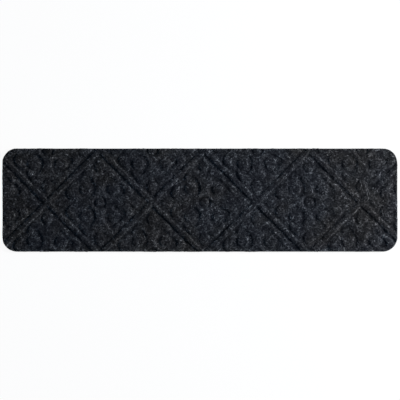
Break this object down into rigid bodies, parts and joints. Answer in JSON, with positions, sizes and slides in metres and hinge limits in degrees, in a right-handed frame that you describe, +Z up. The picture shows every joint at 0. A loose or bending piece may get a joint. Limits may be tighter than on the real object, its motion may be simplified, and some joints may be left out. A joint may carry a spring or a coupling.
{
  "type": "anti slip stair tread mat",
  "caption": "Long flat rounded-corner mat for a stair tread: felt carpet face embossed with a diamond trellis and scroll ornament, bonded to a thin non-slip rubber sheet.",
  "frame": {"origin": "middle of the underside, on the tread", "axes": "+X along the tread, the mat's length; +Y across the tread, the mat's width; +Z up, out of the carpet face"},
  "size_m": [0.762, 0.199, 0.006],
  "materials": {
    "felt": "charcoal needled polyester felt, matt and slightly mottled, pressed smooth in the grooves",
    "backing": "matt black rubber sheet with a fine grain"
  },
  "bodies": {
    "root": {"carpet_face": "felt", "rubber_backing": "backing"}
  },
  "joints": []
}
